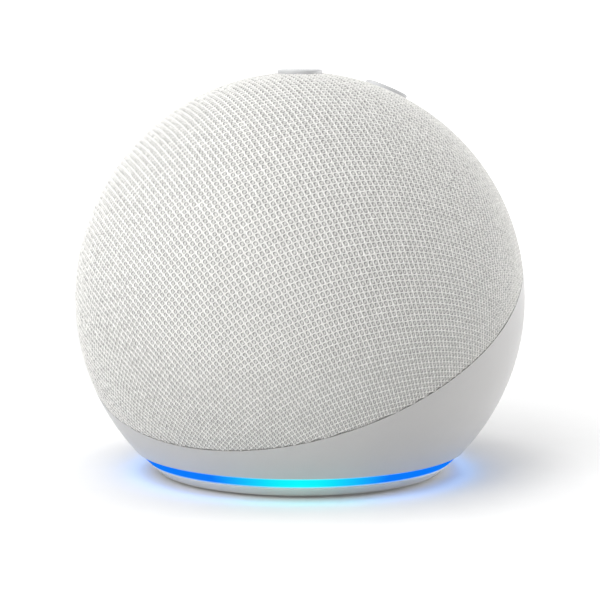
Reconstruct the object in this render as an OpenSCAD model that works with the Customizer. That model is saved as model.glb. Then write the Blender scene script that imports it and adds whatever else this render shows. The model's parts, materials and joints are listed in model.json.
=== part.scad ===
// Compact round smart speaker: a ball with a flat base, a knitted cover over its front and top,
// a glowing ring above the base and four round keys on top.
// The origin is the middle of the foot, on the table. +Z is up and the front faces -Y.

/* [Body] */
// Radius of the round body
body_r = 50; // [47:0.5:62]
// Height of the body's centre above the table
body_z = 39; // [38:0.5:47]
// Wall of the plastic housing
housing_wall = 2.2; // [1.8:0.1:2.6]
// Tilt of the seam between cover and housing, down at the front
seam_tilt = 30; // [24:1:34]
// Distance of the seam's plane below the body's centre
seam_drop = 2.7; // [1:0.1:5]
// Open shadow gap between the cover's edge and the housing
seam_gap = 0.4; // [0.2:0.1:0.8]
// Height of the housing's lip inside the grille
lip_h = 4; // [2:0.5:6]
// Wall of the lip
lip_t = 1.6; // [1:0.1:2.4]

/* [Cover] */
// Thickness of the knitted cover
fabric_t = 0.75; // [0.4:0.05:1]
// Wall of the grille frame under the cover
grille_wall = 2; // [1.5:0.1:2.5]
// Diameter of a sound hole
sound_hole_d = 3.2; // [2:0.1:3.6]
// Angle between rows of sound holes
sound_hole_step = 6; // [5:0.5:8]
// Rows of sound holes around the middle one
sound_hole_rows = 4; // [1:1:4]
// Height of the ring that clamps the cover's hem
hem_ring_h = 3; // [2:0.5:4]
// Wall of the hem ring
hem_ring_t = 1.4; // [1:0.1:2]

/* [Keys] */
// Diameter of a key
key_d = 9.8; // [8:0.1:11.8]
// Angle of the middle of the keys behind the top of the body
key_array_tilt = 16.6; // [12:0.1:20]
// Angle between the middle of the keys and each key
key_polar = 16.6; // [16:0.1:19]
// Height of a key's rim above the body's surface
key_proud = 0.53; // [0.45:0.01:0.8]
// Depth of the dish in a key's top
key_dish = 0.25; // [0.1:0.05:0.4]
// Gap around a key
key_gap = 0.25; // [0.2:0.05:0.4]
// Travel of a key
key_travel = 0.4; // [0.3:0.05:0.45]
// Width of a key's hidden flange beyond its cap
key_flange_w = 0.8; // [0.5:0.1:1]
// Thickness of the key's flange
key_flange_t = 0.8; // [0.6:0.1:1]
// Wall of the key carrier
carrier_wall = 1.5; // [1.2:0.1:2]
// Radius of the key carrier
carrier_r = 21; // [20.5:0.5:24]
// Depth of the key carrier's outside below the body's surface
carrier_depth = 7; // [6.8:0.1:8]
// Side of a tact switch
switch_w = 4.5; // [3:0.1:5]
// Height of a tact switch's case
switch_h = 1; // [0.8:0.1:1.2]
// Height of a tact switch's stem
switch_stem_h = 0.6; // [0.4:0.1:0.8]
// Radius of the key board
key_board_r = 14.5; // [13:0.5:15]
// Thickness of the key board
key_board_t = 1; // [0.8:0.1:1.6]
// Number of microphones
mic_count = 4; // [2:1:4]

/* [Base] */
// Height of the light ring's lower edge
ring_bottom_z = 2.7; // [2.4:0.1:3]
// Height of the light ring's upper edge
ring_top_z = 5.2; // [4.9:0.1:5.6]
// Step of the light ring in from the body's surface
ring_inset = 0.3; // [0.1:0.1:0.6]
// Inner radius of the light ring's band
ring_inner_r = 31.5; // [31:0.1:32]
// Inner radius of the light ring's guide flange
ring_flange_r = 28.5; // [28.3:0.1:29]
// Radius of the base cover at the table
base_edge_r = 32; // [30.5:0.1:32.5]
// Gap between the base cover and the table
base_lift = 0.6; // [0.4:0.1:0.9]
// Radius of the rubber foot
foot_r = 29; // [26:0.5:30]
// Thickness of the rubber foot
foot_h = 1.4; // [1.2:0.1:1.6]
// Height of the base plate's top
base_plate_z = 4; // [3.8:0.1:4.2]
// Number of light ring lamps
lamp_count = 12; // [6:1:24]

/* [Floor and boards] */
// Height of the housing floor's underside
floor_z = 7; // [6.9:0.1:7.4]
// Thickness of the housing floor
floor_t = 2; // [1.6:0.1:2.4]
// Thickness of the light board
light_board_t = 1; // [0.8:0.1:1.2]
// Radius of the main board
board_r = 33; // [32:0.5:35]
// Thickness of the main board
board_t = 1.2; // [1:0.1:1.6]
// Gap between the housing floor and the main board
board_lift = 2; // [1.8:0.1:2.4]
// Thickness of the heat spreader
spreader_t = 1; // [0.6:0.1:1.2]
// Height of a shield can
can_h = 1.9; // [1.2:0.1:2]

/* [Ports] */
// Height of the ports
port_z = 18; // [17:0.5:20]
// Distance of each port from the middle
port_x = 6; // [5.5:0.5:7]
// Depth of the ports' recess below the body's surface
port_recess = 3.2; // [2.6:0.1:3.8]
// Width of the ports' recess
recess_w = 24; // [22:0.5:26]
// Height of the ports' recess
recess_h = 10; // [9:0.5:11]
// Diameter of the power inlet's bore
inlet_bore_d = 5.6; // [5:0.1:6]
// Depth of the power inlet's bore
inlet_bore_l = 9; // [8:0.5:10]
// Diameter of the power inlet's pin
inlet_pin_d = 1.7; // [1:0.1:2.5]
// Diameter of the sound socket's bore
jack_bore_d = 3.6; // [3.5:0.1:3.8]
// Depth of the sound socket's bore
jack_bore_l = 11; // [10:0.5:11.5]

/* [Speaker] */
// Height of the speaker's axis
driver_z = 40; // [39:0.5:41]
// Radius of the speaker's flange
driver_r = 22.5; // [21.5:0.5:23]
// Gap between the speaker's screw ears and the grille
driver_front_gap = 1.2; // [0.8:0.1:3]
// Thickness of the speaker's flange
flange_t = 1.5; // [1.2:0.1:2]
// Radius of the speaker's opening in the flange
basket_r = 19.5; // [19:0.1:20]
// Outer radius of the cone
cone_r = 15.5; // [14:0.1:16]
// Radius of the voice coil's former
former_r = 6.35; // [6:0.05:6.6]
// Travel of the cone to each side of rest
cone_travel = 1.2; // [0.6:0.1:1.5]
// Depth of the speaker's top plate behind the flange's face
plate_depth = 13.5; // [13:0.1:15]
// Thickness of the top plate
plate_t = 2; // [1.5:0.1:3]
// Radius of the magnet
magnet_r = 15; // [13:0.5:17]
// Thickness of the magnet
magnet_t = 6; // [4:0.5:8]
// Thickness of the yoke's plate
yoke_t = 2.5; // [2:0.1:4]
// Outer radius of the sound chamber
chamber_r = 26; // [25.8:0.1:26.4]
// Wall of the sound chamber
chamber_wall = 2; // [1.5:0.1:2.5]
// Distance of the chamber's split behind the body's middle
chamber_split_y = -2; // [-4:0.5:1]
// Distance of the chamber's rear face behind the body's middle
chamber_back_y = 24; // [20:0.5:24.5]

/* [Hidden] */
$fn = 96;

seat = 0.05;
huge = 3 * body_r;

grille_out_r = body_r - fabric_t - 2 * seat;
grille_in_r = grille_out_r - grille_wall;
housing_in_r = body_r - housing_wall;
housing_mid_r = body_r - housing_wall / 2;
hole_start_r = grille_in_r - 2;
lip_r = grille_in_r - 0.4;
hem_ring_z = -seam_drop + lip_h + 0.6;
lip_root = 4;

// Radius of a ball of radius r at height z above the table
function ball_at(r, z) = sqrt(r * r - pow(z - body_z, 2));

// Directions of the keys around the middle of the keys
KEY_RIGHT = 0;
KEY_REAR = 90;
KEY_LEFT = 180;
KEY_FRONT = 270;
KEYS = [KEY_RIGHT, KEY_REAR, KEY_LEFT, KEY_FRONT];

key_r = key_d / 2;
key_rim_r = body_r + key_proud;
key_flange_r = key_r + key_flange_w;
key_flange_top = sqrt(grille_in_r * grille_in_r - key_flange_r * key_flange_r) - 0.2;
key_flange_bottom = key_flange_top - key_flange_t;
pad_top = body_r - carrier_depth + 0.2;
switch_top = pad_top + switch_h + switch_stem_h;
plunger_bottom = switch_top + key_travel + 0.1;
carrier_out_r = body_r - carrier_depth;
carrier_in_r = carrier_out_r - carrier_wall;
carrier_screw_polar = 24;
key_board_top = sqrt(pow(carrier_in_r, 2) - pow(key_board_r, 2)) - 0.3;
key_board_bottom = key_board_top - key_board_t;
key_board_screw_x = 10;
mic_x = 7;

screw_r = 0.9;
screw_head_r = 1.9;
screw_head_h = 1.2;
base_screw_x = 21;
foot_screw_x = 16;
chamber_foot_w = 7;
foot_hole_w = chamber_foot_w + 1;
board_screw_x = 28;
board_screw_rear_y = 21;
board_z = floor_z + floor_t + board_lift;
board_top = board_z + board_t;
light_board_in_r = 26;
light_board_out_r = 32.5;
lamp_r = 30;
lamp_w = 2.2;
lamp_h = 0.9;

port_face_y = ball_at(body_r, port_z) - port_recess;
port_panel_t = 1.5;
port_back_y = port_face_y - port_panel_t;
port_body_l = 12;
port_body_y = port_back_y - seat - port_body_l;
inlet_body_w = 9;
inlet_body_top = port_z + inlet_bore_d / 2 + 2.4;
jack_body_w = 7.5;
jack_body_top = port_z + jack_bore_d / 2 + 1.8;
jack_nose_d = 5.8;

driver_ear_r = 2.8;
driver_ear_x = driver_r + 1;
driver_reach = driver_ear_x + driver_ear_r + abs(driver_z - body_z);
driver_y = -sqrt(pow(grille_in_r, 2) - pow(driver_reach, 2)) + driver_front_gap + screw_head_h;
gasket_t = 0.6;
baffle_y = driver_y + flange_t + gasket_t;
baffle_t = 2.5;
chamber_in_r = chamber_r - chamber_wall;
seal_t = 0.6;
rear_half_y = chamber_split_y + seal_t;
ear_r = 3;
ear_x = chamber_r + 2;
front_ear_l = 6;
rear_ear_l = 4.5;
basket_wall = 1;
spider_z = -9.5;
coil_t = 0.45;
coil_gap = 0.35;
pole_r = former_r - 0.4 - coil_gap;
ribbon_y = chamber_back_y + 1.2;
ribbon_w = 8;
ribbon_t = 0.3;
ribbon_connector_h = 1.4;
lead_r = 0.6;
lead_x = -16.5;
lead_z = 25;

// Moves its children to the seam's frame, whose +Z is square to the seam and points up and forward
module in_seam() {
    translate([0, 0, body_z]) rotate([seam_tilt, 0, 0]) children();
}

// Ball of radius r on the body's centre, with its poles clear of the keys
module ball(r) {
    in_seam() sphere(r = r);
}

// Everything below a plane z0 in the seam's frame
module below_seam(z0) {
    in_seam() translate([-huge, -huge, z0 - 2 * huge]) cube([2 * huge, 2 * huge, 2 * huge]);
}

// Flat slab from z0 to z1 above the table
module slab(z0, z1) {
    translate([-huge, -huge, z0]) cube([2 * huge, 2 * huge, z1 - z0]);
}

// Moves its children to the frame of the keys' middle
module in_keys() {
    translate([0, 0, body_z]) rotate([-key_array_tilt, 0, 0]) children();
}

// Moves its children to a radial line at an angle around the keys' middle
module on_radius(azimuth, polar) {
    in_keys() rotate([0, 0, azimuth]) rotate([0, polar, 0]) children();
}

// Moves its children to the speaker's frame, whose +Z fires forward from the flange's face
module in_driver() {
    translate([0, driver_y, driver_z]) rotate([90, 0, 0]) children();
}

// Ring between two radii from z0 to z1
module band(r_in, r_out, z0, z1) {
    translate([0, 0, z0]) difference() {
        cylinder(r = r_out, h = z1 - z0);
        translate([0, 0, -1]) cylinder(r = r_in, h = z1 - z0 + 2);
    }
}

// Cylinder along +Y from y0 to y1
module rod_y(x, z, r, y0, y1) {
    translate([x, y0, z]) rotate([-90, 0, 0]) cylinder(r = r, h = y1 - y0);
}

// Prism with round ends along +Y, standing across the port recess
module slot_y(w, h, y0, y1) {
    end_x = w / 2 - h / 2;
    for (side = [-1, 1]) rod_y(side * end_x, port_z, h / 2, y0, y1);
    translate([-end_x, y0, port_z - h / 2]) cube([2 * end_x, y1 - y0, h]);
}

// Box standing on z0, centred on x and y
module block(x, y, z0, size) {
    translate([x - size[0] / 2, y - size[1] / 2, z0]) cube(size);
}

// Screw whose head's seat is at z = 0 with the shaft towards +Z
module screw(shaft_l) {
    difference() {
        union() {
            translate([0, 0, -screw_head_h]) cylinder(r = screw_head_r, h = screw_head_h);
            cylinder(r = screw_r, h = shaft_l);
        }
        translate([0, 0, -screw_head_h - 1]) cylinder(r = 0.7, h = 1.6, $fn = 6);
    }
}

// Places its children on four points of a square, at each sign of x and y
module at_corners(x) {
    for (sx = [-1, 1]) {
        for (sy = [-1, 1]) {
            translate([sx * x, sy * x, 0]) children();
        }
    }
}

// Places its children on the four axes at distance x
module at_axes(x) {
    for (a = [0 : 90 : 270]) {
        translate([x * cos(a), x * sin(a), 0]) children();
    }
}

// Places its children on the main board's four screws
module at_board_screws() {
    for (side = [-1, 1]) translate([side * board_screw_x, 0, 0]) children();
    translate([0, -board_screw_x, 0]) children();
    translate([0, board_screw_rear_y, 0]) children();
}

module housing_shell() {
    intersection() {
        difference() {
            ball(body_r);
            ball(housing_in_r);
        }
        below_seam(-seam_drop - seam_gap);
        slab(ring_top_z, 2 * huge);
    }
}

module housing_lip() {
    root_z = -seam_drop - lip_root;
    in_seam() band(lip_r - lip_t, lip_r, root_z, -seam_drop + lip_h);
    intersection() {
        in_seam() band(lip_r - lip_t, body_r, root_z, root_z + 2);
        ball(housing_mid_r);
    }
}

module housing_floor() {
    intersection() {
        slab(floor_z, floor_z + floor_t);
        ball(housing_mid_r);
    }
    at_board_screws() translate([0, 0, floor_z + 1]) cylinder(r = 2.6, h = board_z - seat - floor_z - 1);
    at_axes(base_screw_x) {
        translate([0, 0, base_plate_z + seat]) cylinder(r = 3, h = floor_z + 1 - base_plate_z - seat);
    }
}

module port_pocket() {
    intersection() {
        slot_y(recess_w + 2 * port_panel_t, recess_h + 2 * port_panel_t, port_back_y, body_r);
        ball(housing_mid_r);
    }
}

module rear_housing() {
    color([0.8, 0.81, 0.82]) difference() {
        union() {
            housing_shell();
            housing_lip();
            housing_floor();
            port_pocket();
        }
        slot_y(recess_w, recess_h, port_face_y, 2 * body_r);
        rod_y(-port_x, port_z, inlet_bore_d / 2 + 0.5, port_back_y - 1, port_face_y + 1);
        rod_y(port_x, port_z, jack_nose_d / 2 + 0.2, port_back_y - 1, port_face_y + 1);
        at_corners(foot_screw_x) translate([0, 0, floor_z - 1]) cylinder(r = 1.3, h = floor_t + 2);
        at_board_screws() translate([0, 0, board_z - 4]) cylinder(r = screw_r + seat, h = 5);
        at_axes(base_screw_x) translate([0, 0, base_plate_z]) cylinder(r = screw_r + seat, h = 4);
    }
}

// Round hole through cover and grille around a key
module key_hole() {
    translate([0, 0, hole_start_r]) cylinder(r = key_r + key_gap, h = 2 * grille_wall + 4);
}

// Sound holes on rings around the speaker's axis
module sound_holes() {
    for (ring = [0 : sound_hole_rows]) {
        count = max(1, 6 * ring);
        for (i = [0 : count - 1]) {
            translate([0, 0, body_z]) rotate([90, 0, 0]) rotate([0, 0, i * 360 / count])
                rotate([0, ring * sound_hole_step, 0]) translate([0, 0, hole_start_r])
                    cylinder(d = sound_hole_d, h = 2 * grille_wall + 4);
        }
    }
}

module grille_frame() {
    color([0.28, 0.28, 0.3]) difference() {
        union() {
            difference() {
                ball(grille_out_r);
                ball(grille_in_r);
                below_seam(-seam_drop - seam_gap + seat);
            }
            for (a = KEYS) {
                on_radius(a + 45, carrier_screw_polar) translate([0, 0, carrier_out_r + seat])
                    cylinder(r = 2.2, h = grille_in_r - carrier_out_r + grille_wall / 2);
            }
        }
        for (a = KEYS) {
            on_radius(a, key_polar) key_hole();
            on_radius(a + 45, carrier_screw_polar) translate([0, 0, carrier_out_r])
                cylinder(r = screw_r + seat, h = 4);
        }
        sound_holes();
    }
}

module fabric_cover() {
    color([0.86, 0.86, 0.85]) difference() {
        ball(body_r);
        ball(body_r - fabric_t);
        below_seam(-seam_drop);
        for (a = KEYS) on_radius(a, key_polar) key_hole();
    }
}

module hem_ring() {
    top_z = hem_ring_z + hem_ring_h;
    in_r = lip_r - hem_ring_t;
    color([0.2, 0.2, 0.22]) in_seam() rotate_extrude() polygon([
        [in_r, hem_ring_z], [sqrt(pow(grille_in_r, 2) - pow(hem_ring_z, 2)) - 2 * seat, hem_ring_z],
        [sqrt(pow(grille_in_r, 2) - pow(top_z, 2)) - 2 * seat, top_z], [in_r, top_z]
    ]);
}

// Round key with a dished top, a hidden flange and a plunger above its switch
module key(azimuth) {
    dish_w = key_r - 0.5;
    dish_r = (dish_w * dish_w + key_dish * key_dish) / (2 * key_dish);
    edge = 0.2;
    profile = [
        [0, key_flange_bottom], [key_flange_r, key_flange_bottom], [key_flange_r, key_flange_top],
        [key_r, key_flange_top], [key_r, key_rim_r - edge], [key_r - edge, key_rim_r], [0, key_rim_r]
    ];
    on_radius(azimuth, key_polar) {
        difference() {
            union() {
                rotate_extrude() polygon(profile);
                translate([0, 0, plunger_bottom])
                    cylinder(r = 1.5, h = key_flange_bottom + 0.3 - plunger_bottom);
            }
            translate([0, 0, key_rim_r - key_dish + dish_r]) sphere(r = dish_r);
        }
    }
}

module button_volume_up() {
    color([0.83, 0.84, 0.84]) key(KEY_REAR);
}

module button_volume_down() {
    color([0.83, 0.84, 0.84]) key(KEY_FRONT);
}

module button_action() {
    color([0.83, 0.84, 0.84]) key(KEY_RIGHT);
}

module button_mic_off() {
    color([0.83, 0.84, 0.84]) key(KEY_LEFT);
}

module key_carrier() {
    color([0.3, 0.3, 0.32]) difference() {
        union() {
            intersection() {
                difference() {
                    ball(carrier_out_r);
                    ball(carrier_in_r);
                }
                in_keys() cylinder(r = carrier_r, h = 2 * body_r);
            }
            for (a = KEYS) {
                on_radius(a, key_polar) translate([0, 0, carrier_in_r + 0.5])
                    cylinder(r = 4, h = pad_top - carrier_in_r - 0.5);
                in_keys() rotate([0, 0, a + 45]) translate([key_board_screw_x, 0, key_board_top + seat])
                    cylinder(r = 1.8, h = 2.2);
            }
        }
        for (a = KEYS) {
            on_radius(a + 45, carrier_screw_polar) translate([0, 0, carrier_in_r - 1])
                cylinder(r = screw_r + 0.2, h = carrier_wall + 2);
            in_keys() rotate([0, 0, a + 45]) translate([key_board_screw_x, 0, key_board_top - 1])
                cylinder(r = screw_r + seat, h = 3);
        }
    }
}

module tact_switches() {
    color([0.75, 0.75, 0.72]) for (a = KEYS) {
        on_radius(a, key_polar) {
            block(0, 0, pad_top + seat, [switch_w, switch_w, switch_h - seat]);
            translate([0, 0, pad_top + switch_h - 0.2]) cylinder(r = 1.1, h = switch_stem_h + 0.2);
        }
    }
}

module key_board() {
    color([0.1, 0.35, 0.22]) in_keys() difference() {
        translate([0, 0, key_board_bottom]) cylinder(r = key_board_r, h = key_board_t);
        for (a = KEYS) {
            rotate([0, 0, a + 45]) translate([key_board_screw_x, 0, key_board_bottom - 1])
                cylinder(r = screw_r + 0.2, h = key_board_t + 2);
        }
    }
}

module key_board_screws() {
    color([0.7, 0.7, 0.7]) for (a = KEYS) {
        in_keys() rotate([0, 0, a + 45]) translate([key_board_screw_x, 0, key_board_bottom]) screw(2.4);
    }
}

module carrier_screws() {
    color([0.7, 0.7, 0.7]) for (a = KEYS) {
        on_radius(a + 45, carrier_screw_polar) translate([0, 0, carrier_in_r - 2 * seat]) screw(5);
    }
}

module microphones() {
    color([0.78, 0.72, 0.5]) for (i = [0 : mic_count - 1]) {
        in_keys() rotate([0, 0, i * 360 / mic_count]) block(mic_x, 0, key_board_top, [3, 4, 1]);
    }
}

module light_ring() {
    color([0.1, 0.7, 1]) union() {
        difference() {
            intersection() {
                ball(body_r - ring_inset);
                slab(ring_bottom_z, ring_top_z - seat);
            }
            translate([0, 0, -1]) cylinder(r = ring_inner_r, h = ring_top_z + 2);
        }
        band(ring_flange_r, ring_inner_r + 0.5, 3.4, 4.6);
    }
}

module light_board() {
    color([0.1, 0.35, 0.22]) band(
        light_board_in_r, light_board_out_r, floor_z - seat - light_board_t, floor_z - seat
    );
}

module ring_lamps() {
    lamp_top = floor_z - seat - light_board_t;
    color([0.95, 0.95, 0.8]) for (i = [0 : lamp_count - 1]) {
        rotate([0, 0, i * 360 / lamp_count]) block(lamp_r, 0, lamp_top - lamp_h, [1.4, lamp_w, lamp_h]);
    }
}

module base_cover() {
    recess_r = foot_r + 0.15;
    shelf_z = ring_bottom_z - seat;
    rim_r = ball_at(body_r - ring_inset, ring_bottom_z) - 0.2;
    profile = [
        [0, foot_h], [recess_r, foot_h], [recess_r, base_lift], [base_edge_r - 0.3, base_lift],
        [base_edge_r, base_lift + 0.3], [rim_r, shelf_z - 0.3], [rim_r, shelf_z],
        [ring_flange_r - 0.4, shelf_z], [ring_flange_r - 0.4, base_plate_z], [0, base_plate_z]
    ];
    color([0.72, 0.74, 0.75]) difference() {
        rotate_extrude() polygon(profile);
        at_axes(base_screw_x) {
            cylinder(r = screw_r + 0.3, h = base_plate_z + 1);
            cylinder(r = screw_head_r + 0.2, h = foot_h + screw_head_h + 0.2);
        }
    }
}

module rubber_foot() {
    edge = 0.4;
    profile = [[0, 0], [foot_r - edge, 0], [foot_r, edge], [foot_r, foot_h - seat], [0, foot_h - seat]];
    color([0.45, 0.46, 0.47]) rotate_extrude() polygon(profile);
}

module base_screws() {
    color([0.7, 0.7, 0.7]) at_axes(base_screw_x) translate([0, 0, foot_h + screw_head_h + 0.2]) screw(5);
}

module main_board() {
    tab_y = port_back_y - 3;
    color([0.1, 0.35, 0.22]) difference() {
        union() {
            translate([0, 0, board_z]) cylinder(r = board_r, h = board_t);
            intersection() {
                translate([-13, 0, board_z]) cube([26, tab_y, board_t]);
                ball(housing_in_r - 4 * seat);
            }
        }
        at_corners(foot_screw_x) block(0, 0, board_z - 1, [foot_hole_w, foot_hole_w, board_t + 2]);
        at_board_screws() translate([0, 0, board_z - 1]) cylinder(r = screw_r + 0.2, h = board_t + 2);
    }
}

module board_screws() {
    color([0.7, 0.7, 0.7]) at_board_screws() translate([0, 0, board_top + seat]) mirror([0, 0, 1]) screw(4.4);
}

module shield_cans() {
    color([0.75, 0.76, 0.78]) for (side = [-1, 1]) block(side * 12, 0, board_top, [13, 18, can_h]);
}

// Small parts on the front of the main board, in rows
module board_chips() {
    color([0.1, 0.1, 0.12]) {
        block(0, -19, board_top, [9, 7, 1]);
        for (i = [-2 : 2]) block(i * 3.2, -12.5, board_top, [1.6, 2.4, 0.8]);
        for (side = [-1, 1]) block(side * 10.5, -23.5, board_top, [4, 4, 1.8]);
    }
}

module heat_spreader() {
    spreader_z = floor_z + floor_t + seat;
    color([0.8, 0.8, 0.82]) difference() {
        translate([0, 0, spreader_z]) cylinder(r = 24.5, h = spreader_t);
        at_corners(foot_screw_x) {
            block(0, 0, spreader_z - 1, [foot_hole_w, foot_hole_w, spreader_t + 2]);
        }
        translate([0, board_screw_rear_y, spreader_z - 1]) cylinder(r = 3.2, h = spreader_t + 2);
    }
}

module thermal_pad() {
    pad_z = floor_z + floor_t + seat + spreader_t + seat;
    color([0.6, 0.65, 0.75]) block(0, 0, pad_z, [14, 14, board_z - seat - pad_z]);
}

module antennas() {
    color([0.15, 0.2, 0.2]) for (side = [-1, 1]) {
        block(side * 29, 11, board_top, [1, 12, 8]);
        block(side * 27.6, 11, board_top, [2, 5, 1.5]);
    }
}

// Case of a port on the main board, relieved where the round housing comes in below it
module port_body(x, w, top_z) {
    intersection() {
        translate([x - w / 2, port_body_y, board_top + seat])
            cube([w, port_body_l, top_z - board_top - seat]);
        ball(housing_in_r - 2 * seat);
    }
}

module dc_inlet() {
    color([0.12, 0.12, 0.13]) difference() {
        port_body(-port_x, inlet_body_w, inlet_body_top);
        rod_y(-port_x, port_z, inlet_bore_d / 2, port_body_y + port_body_l - inlet_bore_l, port_back_y + 1);
    }
}

module dc_inlet_pin() {
    mouth_y = port_body_y + port_body_l;
    pin_y = mouth_y - inlet_bore_l + seat;
    color([0.85, 0.8, 0.6]) rod_y(-port_x, port_z, inlet_pin_d / 2, pin_y, mouth_y - 0.5);
}

module audio_socket() {
    nose_y = port_face_y - 0.2;
    color([0.12, 0.12, 0.13]) difference() {
        union() {
            port_body(port_x, jack_body_w, jack_body_top);
            rod_y(port_x, port_z, jack_nose_d / 2, port_body_y + port_body_l - 1, nose_y);
        }
        rod_y(port_x, port_z, jack_bore_d / 2, nose_y - jack_bore_l, nose_y + 1);
    }
}

// Unit vector square to the stretch from a to b
function across(a, b) = [a[1] - b[1], b[0] - a[0]] / norm(b - a);

// Corner i of a path's edge at distance d beside it, with the stretches' edges met in a mitre
function beside(path, i, d) =
    let (
        before = across(path[max(i - 1, 0)], path[max(i, 1)]),
        after = across(path[min(i, len(path) - 2)], path[min(i + 1, len(path) - 1)]),
        mid = (before + after) / norm(before + after)
    )
    path[i] + mid * d / (mid * after);

module ribbon_cable() {
    cy = cos(key_array_tilt);
    sy = sin(key_array_tilt);
    under = key_board_bottom - seat - ribbon_t / 2;
    near = [under * sy + (key_board_r - 2.5) * cy, body_z + under * cy - (key_board_r - 2.5) * sy];
    past = [under * sy + (key_board_r + 1) * cy, body_z + under * cy - (key_board_r + 1) * sy];
    route = [near, past, [ribbon_y, past[1] - 4], [ribbon_y, board_top + ribbon_connector_h + seat]];
    last = len(route) - 1;
    outline = [
        for (i = [0 : last]) beside(route, i, ribbon_t / 2),
        for (i = [last : -1 : 0]) beside(route, i, -ribbon_t / 2)
    ];
    color([0.85, 0.6, 0.25]) translate([-ribbon_w / 2, 0, 0]) rotate([90, 0, 90]) {
        linear_extrude(ribbon_w) polygon(outline);
    }
}

module ribbon_connector() {
    color([0.9, 0.88, 0.8]) block(0, ribbon_y, board_top, [ribbon_w + 2, 1.6, ribbon_connector_h]);
}

// Tube through a list of points, with slightly larger ball joints
module tube(route, r) {
    for (i = [0 : len(route) - 2]) {
        d = route[i + 1] - route[i];
        turn = atan2(d[1], d[0]);
        lean = acos(d[2] / norm(d));
        translate(route[i]) rotate([0, lean, turn]) cylinder(r = r, h = norm(d));
    }
    for (i = [1 : len(route) - 2]) translate(route[i]) sphere(r = r + seat);
}

module speaker_lead() {
    start_y = driver_y + 14.9;
    route = [
        [lead_x, start_y, driver_z], [lead_x, start_y + 6, 30], [lead_x, 0, lead_z],
        [lead_x, chamber_back_y - 4, lead_z], [lead_x, chamber_back_y + 1.5, lead_z],
        [lead_x, chamber_back_y + 1.5, board_top + 2.45]
    ];
    color([0.7, 0.1, 0.1]) for (side = [-1, 1]) {
        translate([side * (lead_r + 3 * seat), 0, 0]) tube(route, lead_r);
    }
}

module speaker_plug() {
    color([0.9, 0.88, 0.8]) block(lead_x, chamber_back_y + 1.5, board_top, [4, 3, 2.4]);
}

// Half of the sound chamber's tube with its closed end, screw ears and feet
module chamber_tube(y0, y1) {
    rod_y(0, driver_z, chamber_r, y0, y1);
}

module chamber_ears(y0, y1) {
    for (a = [45 : 90 : 315]) rod_y(ear_x * cos(a), driver_z + ear_x * sin(a), ear_r, y0, y1);
}

module chamber_ear_holes(y0, y1, r) {
    for (a = [45 : 90 : 315]) rod_y(ear_x * cos(a), driver_z + ear_x * sin(a), r, y0, y1);
}

module chamber_feet(y) {
    foot_z = floor_z + floor_t + seat;
    foot_top = driver_z - foot_screw_x;
    for (side = [-1, 1]) {
        block(side * foot_screw_x, y, foot_z, [chamber_foot_w, chamber_foot_w, foot_top - foot_z]);
    }
}

module chamber_foot_holes(y) {
    for (side = [-1, 1]) {
        translate([side * foot_screw_x, y, floor_z]) cylinder(r = screw_r + seat, h = 7.5);
    }
}

module chamber_front() {
    color([0.25, 0.25, 0.27]) difference() {
        union() {
            chamber_tube(baffle_y, chamber_split_y);
            chamber_ears(chamber_split_y - front_ear_l, chamber_split_y);
            chamber_feet(-foot_screw_x);
            for (a = [45 : 90 : 315]) {
                rod_y(driver_ear_x * cos(a), driver_z + driver_ear_x * sin(a), 2.2, baffle_y, baffle_y + 6);
            }
        }
        difference() {
            rod_y(0, driver_z, chamber_in_r, baffle_y + baffle_t, chamber_split_y + 1);
            for (a = [45 : 90 : 315]) {
                rod_y(driver_ear_x * cos(a), driver_z + driver_ear_x * sin(a), 2.2, baffle_y, baffle_y + 6);
            }
        }
        rod_y(0, driver_z, basket_r + 0.8, baffle_y - 1, baffle_y + baffle_t + 4);
        chamber_ear_holes(chamber_split_y - 5.5, chamber_split_y + 1, screw_r + seat);
        chamber_foot_holes(-foot_screw_x);
        for (a = [45 : 90 : 315]) {
            rod_y(driver_ear_x * cos(a), driver_z + driver_ear_x * sin(a), screw_r + seat, baffle_y - 1,
                baffle_y + 4.5);
        }
    }
}

module chamber_rear() {
    color([0.25, 0.25, 0.27]) difference() {
        union() {
            chamber_tube(rear_half_y, chamber_back_y);
            chamber_ears(rear_half_y, rear_half_y + rear_ear_l);
            chamber_feet(foot_screw_x);
        }
        rod_y(0, driver_z, chamber_in_r, rear_half_y - 1, chamber_back_y - chamber_wall);
        chamber_ear_holes(rear_half_y - 1, rear_half_y + rear_ear_l + 1, screw_r + 0.2);
        chamber_foot_holes(foot_screw_x);
        rod_y(lead_x, lead_z, 2 * lead_r + 0.6, chamber_back_y - chamber_wall - 1, chamber_back_y + 1);
    }
}

module chamber_seal() {
    color([0.1, 0.1, 0.1]) translate([0, rear_half_y - seat, driver_z]) rotate([90, 0, 0]) {
        band(chamber_in_r + 0.2, chamber_r - 0.2, 0, seal_t - 2 * seat);
    }
}

module chamber_screws() {
    head_y = rear_half_y + rear_ear_l + seat;
    color([0.7, 0.7, 0.7]) for (a = [45 : 90 : 315]) {
        translate([ear_x * cos(a), head_y, driver_z + ear_x * sin(a)]) rotate([90, 0, 0]) screw(9.5);
    }
}

module chamber_foot_screws() {
    color([0.7, 0.7, 0.7]) at_corners(foot_screw_x) translate([0, 0, floor_z - seat]) screw(7);
}

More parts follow.
